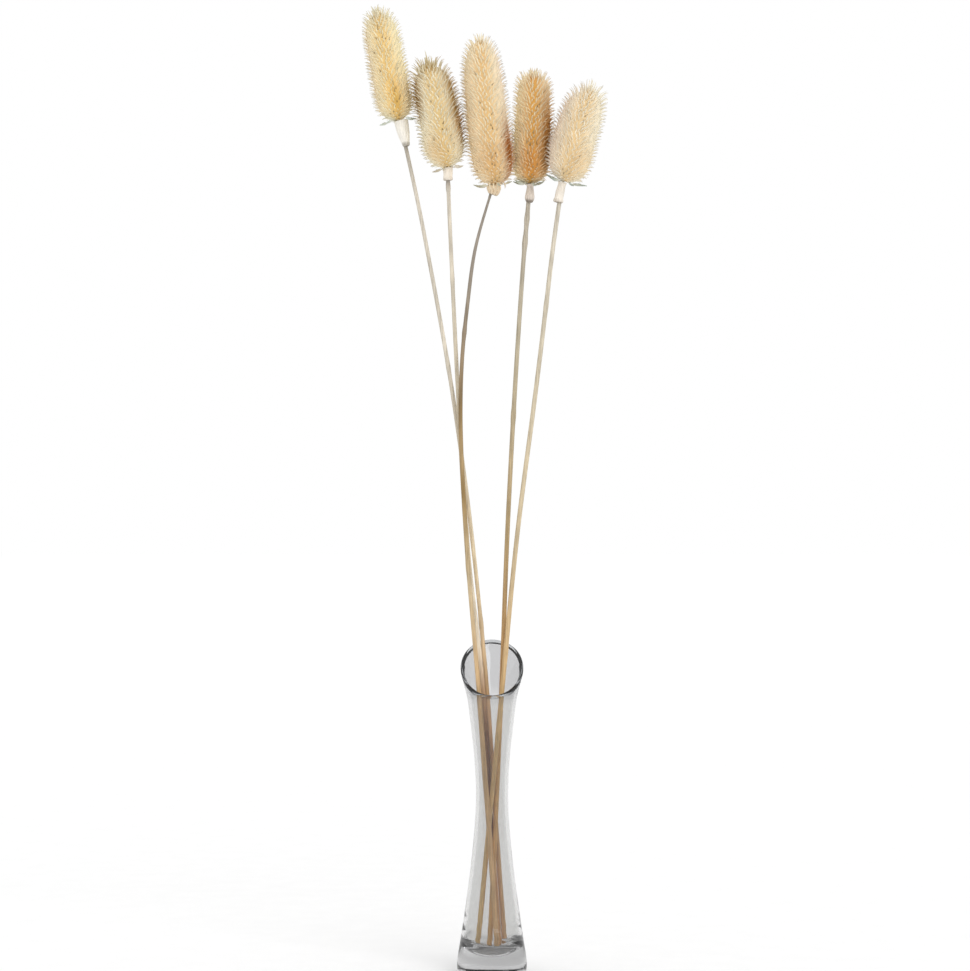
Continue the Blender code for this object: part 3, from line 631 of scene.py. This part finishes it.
def paper_colour_and_shade(head, along, turn, share, tone, dark):
    """Colour of the dried scales, with painted shade. The body's colour has each patch laid over it; it
    darkens into the spine's root, most at the front and back, partly the scales' own browner base and
    partly painted shade down between the spines, and in the brown gaps, painted shade. Some spines are
    brown. The outer ends of the spines are painted a darker grey-brown, most at the head's two sides:
    painted shade on the hooks' undersides."""
    body, root, fleck = (np.array(paint(hexes)) for hexes in (head["body"], head["root"], FLECK))
    colour = np.tile(body, (len(turn), 1))
    for hexes, *spot in head["patches"]:
        cover = np.clip(bells([spot], turn, share) * (0.75 + 0.5 * tone), 0, 1)[:, None]
        colour += (paint(hexes) - colour) * cover
    # the root is painted darker, most at the front and back: partly the scales' own browner base, partly
    # painted shade down between the spines
    low = np.clip(1 - along / 0.45, 0, 1) * (ROOT_SHADE_AT_SIDES + (1 - ROOT_SHADE_AT_SIDES) * np.sin(turn) ** 4)
    colour *= 1 - low[:, None] * (1 - root / body)
    # the brown gaps of heads 2, 3 and 4: painted shade down between the spines' roots
    for hexes, *spot in head["gaps"]:
        cover = np.clip(bells([spot], turn, share), 0, 1) * np.clip(1 - along / 0.55, 0, 1)
        colour += (paint(hexes) - colour) * cover[:, None]
    colour += (fleck - colour) * (dark * 0.85)[:, None]
    # the outer ends of the spines are painted darker, most at the head's two sides: painted shade on the
    # hooks' undersides
    left, right = (np.array(paint(hexes)) for hexes in head["hooks"])
    hook = np.where(np.cos(turn)[:, None] < 0, left, right)
    start = 0.88 - 0.28 * sideways(turn)
    hook_shade = np.clip((along - start) / (0.95 - start), 0, 1) * (0.35 + 0.6 * sideways(turn))
    colour += (hook - colour) * hook_shade[:, None]
    return colour * (0.91 + 0.16 * tone)[:, None]


def spine_field(head, length, seed):
    """Every spine of a head, in the head's own frame. Roots are spread evenly over the cone: each turns
    a golden angle from the last, and climbs by equal areas. A spine's slope goes from its root's to its
    tip's by a power of the way along, so its line is the running sum of (cos, sin) of the slope. It is a
    four-sided boat, wide as a scale at the root, then a thin awn that narrows to a point."""
    rng = np.random.default_rng(seed)
    fine = np.linspace(0, 1, 400)
    radius = core_radius(fine, head)
    steps = np.hypot(np.diff(radius), np.diff(fine * length)) * np.pi * (radius[1:] + radius[:-1])
    area = np.concatenate([[0], np.cumsum(steps)])
    count = int(area[-1] / SPINE_CELL)
    share = np.interp((np.arange(count) + 0.5) / count * area[-1], area, fine)
    turn = np.arange(count) * GOLDEN_ANGLE + rng.normal(0, 0.03, count)

    # at the two sides the spirals line up in level rows
    row = HOOK_ROW / length
    share += (np.round(share / row) * row + rng.normal(0, 0.06, count) * row - share) * sideways(turn)
    share = np.clip(share, 0.001, 0.999)

    rise, fall, long = (np.interp(share, SPINE_GROWTH[:, 0], SPINE_GROWTH[:, k]) for k in (1, 2, 3))
    front = 1 - sideways(turn)
    rise += rng.normal(0, 5, count) * (0.3 + front)
    fall += rng.normal(0, 10, count) * (0.3 + front)
    crown = np.clip((share - 0.8) / 0.2, 0, 1)
    shag = bells(head["shag"], turn, share) + np.zeros(count)
    long *= (1 + (head["stretch"] - 1) * crown + shag) * rng.uniform(0.82, 1.08, count)
    rise -= 30 * shag
    chance = FLECK_CHANCE * np.sin(turn) ** 6 + bells(head["specks"], turn, share)
    dark = np.where(rng.uniform(0, 1, count) < chance, rng.uniform(0.5, 1, count), 0)
    long *= 1 - 0.25 * dark
    if head["strays"]:
        strays = np.array(head["strays"], float)
        turn = np.concatenate([turn, np.radians(strays[:, 0])])
        share, rise, fall, long = (np.concatenate([most, strays[:, k]]) for k, most in
                                   enumerate((share, rise, fall, long), start=1))
        dark = np.concatenate([dark, np.zeros(len(strays))])
        count += len(strays)
    rise, fall, long = np.radians(rise), np.radians(fall), long * MM
    lean = rng.normal(0, 0.09, count)

    along = np.linspace(0, 1, SPINE_STATIONS)
    slope = rise[:, None] + (fall - rise)[:, None] * along**SPINE_BEND
    middle = (slope[:, 1:] + slope[:, :-1]) / 2
    step = long[:, None] / (SPINE_STATIONS - 1)
    zero = np.zeros((count, 1))
    out = (core_radius(share, head)[:, None] - ROOT_DEPTH
           + np.hstack([zero, np.cumsum(step * np.cos(middle), 1)]))
    up = (share * length)[:, None] + np.hstack([zero, np.cumsum(step * np.sin(middle), 1)])
    angle = turn[:, None] + lean[:, None] * along**2
    line = np.stack([out * np.cos(angle), out * np.sin(angle), up], -1)

    side = np.stack([-np.sin(angle), np.cos(angle), np.zeros_like(angle)], -1)
    ahead = np.gradient(line, axis=1)
    ahead /= np.linalg.norm(ahead, axis=-1, keepdims=True)
    over = np.cross(side, ahead)
    width = (AWN_WIDTH * (1 - along) ** 0.45 + (SCALE_WIDTH - AWN_WIDTH) * (1 - along) ** 4) / 2
    width = width[None, :, None] * (rng.uniform(0.85, 1.15, count) * (1 - 0.35 * dark))[:, None, None]
    rings = np.stack([line - side * width, line - over * width * SPINE_THICKNESS,
                      line + side * width, line + over * width * SPINE_THICKNESS * 0.6], axis=2)[:, :-1]
    points = np.concatenate([rings.reshape(count, -1, 3), line[:, -1:]], axis=1)
    each = points.shape[1]

    here = np.arange(4)
    ring_start = np.arange(SPINE_STATIONS - 2)[:, None] * 4
    quads = np.stack([ring_start + here, ring_start + (here + 1) % 4,
                      ring_start + 4 + (here + 1) % 4, ring_start + 4 + here], -1).reshape(-1, 4)
    quads = np.vstack([quads, [[3, 2, 1, 0]]])
    last = 4 * (SPINE_STATIONS - 2)
    tips = np.stack([last + here, last + (here + 1) % 4, np.full(4, each - 1)], -1)
    first = np.arange(count)[:, None, None] * each
    facts = {
        "along": np.concatenate([np.repeat(along[:-1], 4), [1.0]])[None].repeat(count, 0),
        "share": np.repeat(share[:, None], each, 1),
        "turn": np.repeat(turn[:, None], each, 1),
        "tone": np.repeat(rng.uniform(0, 1, count)[:, None], each, 1),
        "dark": np.repeat(dark[:, None], each, 1),
    }
    return (points.reshape(-1, 3), (quads + first).reshape(-1, 4), (tips + first).reshape(-1, 3),
            {name: value.ravel() for name, value in facts.items()})


def core_skin(head, length):
    """The cone under the spines, turned about the head's axis and closed at both poles."""
    share = np.sin(np.linspace(0, np.pi / 2, CORE_ROWS + 2)[1:-1]) ** 2
    angle = np.linspace(0, 2 * np.pi, CORE_COLUMNS, endpoint=False)
    radius = core_radius(share, head)[:, None] * np.ones_like(angle)
    height = (share * length)[:, None] * np.ones_like(angle)
    points = turned_skin(radius, height, angle, (0, 0, 0), (0, 0, length))
    rows = np.concatenate([[0], np.repeat(share, CORE_COLUMNS), [1]])
    facts = {"along": np.zeros(len(points)), "share": rows,
             "turn": np.concatenate([[0], np.tile(angle, CORE_ROWS), [0]]),
             "tone": np.full(len(points), 0.5), "dark": np.zeros(len(points))}
    return points, *skin_faces(CORE_ROWS, CORE_COLUMNS), facts


# Dried teasel scale: a stiff, papery, bleached tissue, a little translucent. Browner at its root, partly
# painted shade, cream along its length, and a greyer, thin point, painted shade; each spine a little
# different from the next.
def head_material(number):
    material, tree, output = new_material(f"dried teasel scale {number}")
    place = add(tree, "ShaderNodeTexCoord").outputs["Object"]
    paper = add(tree, "ShaderNodeAttribute", {"attribute_name": "paper"}).outputs["Color"]
    blotch = add(tree, "ShaderNodeTexNoise", inputs={"Vector": place, "Scale": 1 / (7 * MM), "Detail": 3.0})
    uneven = add(tree, "ShaderNodeMapRange", inputs={
        "Value": blotch.outputs["Fac"], "From Min": 0.3, "From Max": 0.7, "To Min": 0.93, "To Max": 1.03})
    colour = add(tree, "ShaderNodeMix", {"data_type": "RGBA", "blend_type": "MULTIPLY"},
                 {0: 1.0, 6: paper, 7: uneven.outputs["Result"]}).outputs[2]
    fibre = add(tree, "ShaderNodeTexNoise", inputs={"Vector": place, "Scale": 1 / (0.6 * MM), "Detail": 2.0})
    dry_finish(tree, output, colour, fibre, (0.35, 0.15 * MM), blotch, (0.6, 0.9), 0.3)
    return material


for number, head in HEADS.items():
    seat, crown, axes = head_frame(number)
    standing = SPINE_GROWTH[-1, 3] * MM * head["stretch"]
    length = np.linalg.norm(crown - seat) - standing
    spine_points, spine_quads, spine_tips, spine_facts = spine_field(head, length, seed=100 + number)
    core_points, core_quads, core_fans, core_facts = core_skin(head, length)
    spine_quads, spine_tips = outward(spine_points, spine_quads, spine_tips)
    core_quads, core_fans = outward(core_points, core_quads, core_fans)
    count = len(spine_points)
    local = np.concatenate([spine_points, core_points])
    # the middle line sways along a parabola through its three offsets
    low, mid, high = (offset * MM for offset in head["sway"])
    t = np.clip(local[:, 2] / length, 0, 1)
    local[:, 0] += low + (4 * mid - 3 * low - high) * t + 2 * (low + high - 2 * mid) * t**2
    points = seat + local @ axes
    # the few tips that would pass the frame's outer box end at it
    points = np.clip(points, np.array(cad_box[0]) + 0.2 * MM, np.array(cad_box[1]) - 0.2 * MM)
    teasel = add_piece(f"teasel_head_{number}", points, np.concatenate([spine_quads, core_quads + count]),
                       np.concatenate([spine_tips, core_fans + count]), head_material(number))
    facts = {name: np.concatenate([spine_facts[name], core_facts[name]]) for name in spine_facts}
    layer = teasel.data.attributes.new("paper", "FLOAT_COLOR", "POINT")
    layer.data.foreach_set("color", paper_colour_and_shade(head, **facts).ravel())
    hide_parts(f"head_{number}")
    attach(teasel, "root")

# ---------------------------------------------------------------------------------------------------
# The bracts
# Narrow pointed leaves in a ring under each head, dried to grey-white paper. They grow out of the top
# of the stalk, droop or stand out to the side, and have curled into shallow troughs along their length.
# ---------------------------------------------------------------------------------------------------
BRACT_ROWS = 16
BRACT_COLUMNS = 9
BRACT_WALL = 0.35 * MM
BRACT_TWIST = math.radians(75)  # from root to tip, one way or the other
# flower: colours at the root and the tip
BRACT_COLOURS = {1: ("#E2E5DC", "#C8D0C6"), 2: ("#E8E1D3", "#CBC3B2"), 3: ("#E0D7BF", "#B9B8A4"),
                 4: ("#DEDED0", "#B4BAAB"), 5: ("#DBDDD2", "#A3ACA2")}


def bract_skin(node):
    """A curled blade along the frame bract's middle line, read from its rings of four corners and its
    point, and as wide as they are. Across, the blade is an arc; it twists about its line towards the
    tip, and its edges are ragged by two sines."""
    corners = corners_of(node)
    number, order_round = (int(part) for part in node.split("_")[1:])
    seat = head_frame(number)[0]
    tip = corners[np.argmax(np.linalg.norm(corners - seat, axis=1))]
    order = np.argsort(np.linalg.norm(corners - tip, axis=1))
    rings = corners[order[1:]].reshape(3, 4, 3)[::-1]
    stops = np.concatenate([rings.mean(1), [tip]])
    wide = np.append(np.linalg.norm(rings - rings.mean(1, keepdims=True), axis=2).max(1), 0.25 * MM)
    along = np.linspace(0, 1, BRACT_ROWS)
    line = np.stack([smooth_through(along, np.linspace(0, 1, 4), stops[:, k]) for k in range(3)], -1)
    ahead = np.gradient(line, axis=0)
    ahead /= np.linalg.norm(ahead, axis=1, keepdims=True)
    level = np.cross([0.0, 0.0, 1.0], ahead)
    level /= np.linalg.norm(level, axis=1, keepdims=True)
    upright = np.cross(ahead, level)
    twist = BRACT_TWIST * (0.3 + 0.7 * along)[:, None] * (-1) ** order_round
    side = np.cos(twist) * level + np.sin(twist) * upright
    over = np.cos(twist) * upright - np.sin(twist) * level
    half = smooth_through(along, np.linspace(0, 1, 4), wide)
    across = np.linspace(-1, 1, BRACT_COLUMNS)
    ragged = (1 + 0.12 * np.sin(along * 19 + number)[:, None] * across
              + 0.08 * np.sin(along * 43 + order_round)[:, None])
    curl = 0.7 * across**2 - 0.3
    wall = BRACT_WALL / 2 * (1 - along**2 * 0.7)[:, None] * np.sqrt(np.clip(1 - across**2, 0.02, 1))
    flat = line[:, None] + (half[:, None] * ragged)[..., None] * (
        across[None, :, None] * side[:, None] + curl[None, :, None] * over[:, None])
    upper = flat + wall[..., None] * over[:, None]
    lower = flat[:, ::-1] - wall[:, ::-1, None] * over[:, None]
    rings = np.concatenate([upper, lower], axis=1)
    points = np.concatenate([line[:1], rings.reshape(-1, 3), [tip]])
    return points, *outward(points, *skin_faces(BRACT_ROWS, 2 * BRACT_COLUMNS)), stops[0]


# Dried bract: thin grey-white paper with a paler rib, matt, and darker and browner towards its point.
def bract_material(number, pale, dark, root, length):
    material, tree, output = new_material(f"dried bract {number}")
    place = add(tree, "ShaderNodeTexCoord").outputs["Object"]
    away = add(tree, "ShaderNodeVectorMath", {"operation": "DISTANCE"},
               {0: place, 1: tuple(root.tolist())}).outputs["Value"]
    vein = add(tree, "ShaderNodeTexNoise", inputs={"Vector": place, "Scale": 1 / (1.1 * MM), "Detail": 3.0})
    drift = add(tree, "ShaderNodeMath", {"operation": "MULTIPLY_ADD"},
                {0: vein.outputs["Fac"], 1: 3 * MM, 2: away}).outputs[0]
    share = add(tree, "ShaderNodeMapRange", {"interpolation_type": "SMOOTHSTEP"},
                {"Value": drift, "From Min": 1.5 * MM, "From Max": length})
    colour = add(tree, "ShaderNodeMix", {"data_type": "RGBA"},
                 {0: share.outputs["Result"], 6: paint(pale), 7: paint(dark)}).outputs[2]
    dry_finish(tree, output, colour, vein, (0.4, 0.2 * MM), vein, (0.65, 0.9), 0.3)
    return material


for node in sorted(name for name in cad_nodes if name.startswith("bract_")):
    number = int(node.split("_")[1])
    *skin, root = bract_skin(node)
    length = np.linalg.norm(skin[0] - root, axis=1).max()
    bract = add_piece(f"dried_{node}", *skin, bract_material(node, *BRACT_COLOURS[number], root, length))
    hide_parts(node)
    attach(bract, "root")

# ---------------------------------------------------------------------------------------------------
# The studio
# A plain white floor that runs back to a white surround, a large soft lamp in front and to the right, and
# even light from all round. The camera stands level with the middle of the arrangement.
# ---------------------------------------------------------------------------------------------------
FLOOR_HALF_SIDE = 12.0
FLOOR_LIFT = 0.06  # radiance that brings the floor up to plain white where it is seen
SURROUND_LIGHT = 0.86  # radiance of the light from all round; a white surface facing it shows as this
KEY_LIGHT = 0.30  # radiance that the key adds to a white surface facing it
KEY_HEIGHT = 38  # degrees above level
KEY_SIDE = 26  # degrees round to the right
CAMERA_DISTANCE = 2.0
VIEW_WIDTH = 0.7275  # the width of what the camera sees, at the arrangement's distance
VIEW_CENTRE = (-0.00525, 0.3656)  # across and up
SENSOR = 36.0

floor_mesh = bpy.data.meshes.new("studio_floor")
s = FLOOR_HALF_SIDE
floor_mesh.from_pydata([(-s, -s, 0), (s, -s, 0), (s, s, 0), (-s, s, 0)], [], [(0, 1, 2, 3)])
floor = bpy.data.objects.new("studio_floor", floor_mesh)
bpy.context.scene.collection.objects.link(floor)


def seen_directly(tree):
    """1 for rays from the camera, or that reach here off gloss or through glass, and 0 for others."""
    rays = add(tree, "ShaderNodeLightPath")
    shown = add(tree, "ShaderNodeMath", {"operation": "ADD"},
                {0: rays.outputs["Is Camera Ray"], 1: rays.outputs["Is Glossy Ray"]}).outputs[0]
    return add(tree, "ShaderNodeMath", {"operation": "ADD", "use_clamp": True},
               {0: shown, 1: rays.outputs["Is Transmission Ray"]}).outputs[0]


# White vinyl studio floor: matt, even, and lifted to plain white where it is seen, keeping its shadows
floor_paint, tree, output = new_material("white studio floor")
grit = add(tree, "ShaderNodeTexNoise", inputs={
    "Vector": add(tree, "ShaderNodeTexCoord").outputs["Object"], "Scale": 40.0})
pale = add(tree, "ShaderNodeValToRGB", {"stops": [(0.0, paint("#F2F2F2")), (1.0, paint("#F7F7F7"))]},
           {"Fac": grit.outputs["Fac"]})
matt = add(tree, "ShaderNodeBsdfPrincipled", inputs={
    "Base Color": pale.outputs["Color"], "Roughness": 0.9, "Specular IOR Level": 0.0})
lift = add(tree, "ShaderNodeMath", {"operation": "MULTIPLY"}, {0: seen_directly(tree), 1: FLOOR_LIFT})
glow = add(tree, "ShaderNodeEmission", inputs={"Color": (1, 1, 1, 1), "Strength": lift.outputs[0]})
both = add(tree, "ShaderNodeAddShader", inputs={0: matt.outputs["BSDF"], 1: glow.outputs["Emission"]})
tree.links.new(both.outputs["Shader"], output.inputs["Surface"])
floor_mesh.materials.append(floor_paint)

world = bpy.data.worlds.new("white surround")
world.use_nodes = True
world.node_tree.nodes.clear()
tree = world.node_tree
strength = add(tree, "ShaderNodeMapRange", inputs={
    "Value": seen_directly(tree), "To Min": SURROUND_LIGHT, "To Max": 1.0})
surround = add(tree, "ShaderNodeBackground", inputs={
    "Color": (1, 1, 1, 1), "Strength": strength.outputs["Result"]})
output = add(tree, "ShaderNodeOutputWorld", inputs={"Surface": surround.outputs["Background"]})
bpy.context.scene.world = world

# a large soft lamp far off in front, up and to the right, so that it lights the whole floor alike
key = bpy.data.lights.new("soft_key", "SUN")
key.angle = math.radians(40)
key.energy = KEY_LIGHT * math.pi
stand = bpy.data.objects.new("soft_key", key)
stand.rotation_euler = (math.radians(90 - KEY_HEIGHT), 0.0, math.radians(KEY_SIDE))
bpy.context.scene.collection.objects.link(stand)

camera = bpy.data.cameras.new("camera")
camera.sensor_width = SENSOR
camera.lens = SENSOR * CAMERA_DISTANCE / VIEW_WIDTH
camera.clip_end = 60.0
tripod = bpy.data.objects.new("camera", camera)
tripod.location = (VIEW_CENTRE[0], -CAMERA_DISTANCE, VIEW_CENTRE[1])
tripod.rotation_euler = (math.pi / 2, 0.0, 0.0)
bpy.context.scene.collection.objects.link(tripod)
bpy.context.scene.camera = tripod
bpy.context.scene.view_settings.view_transform = "Standard"
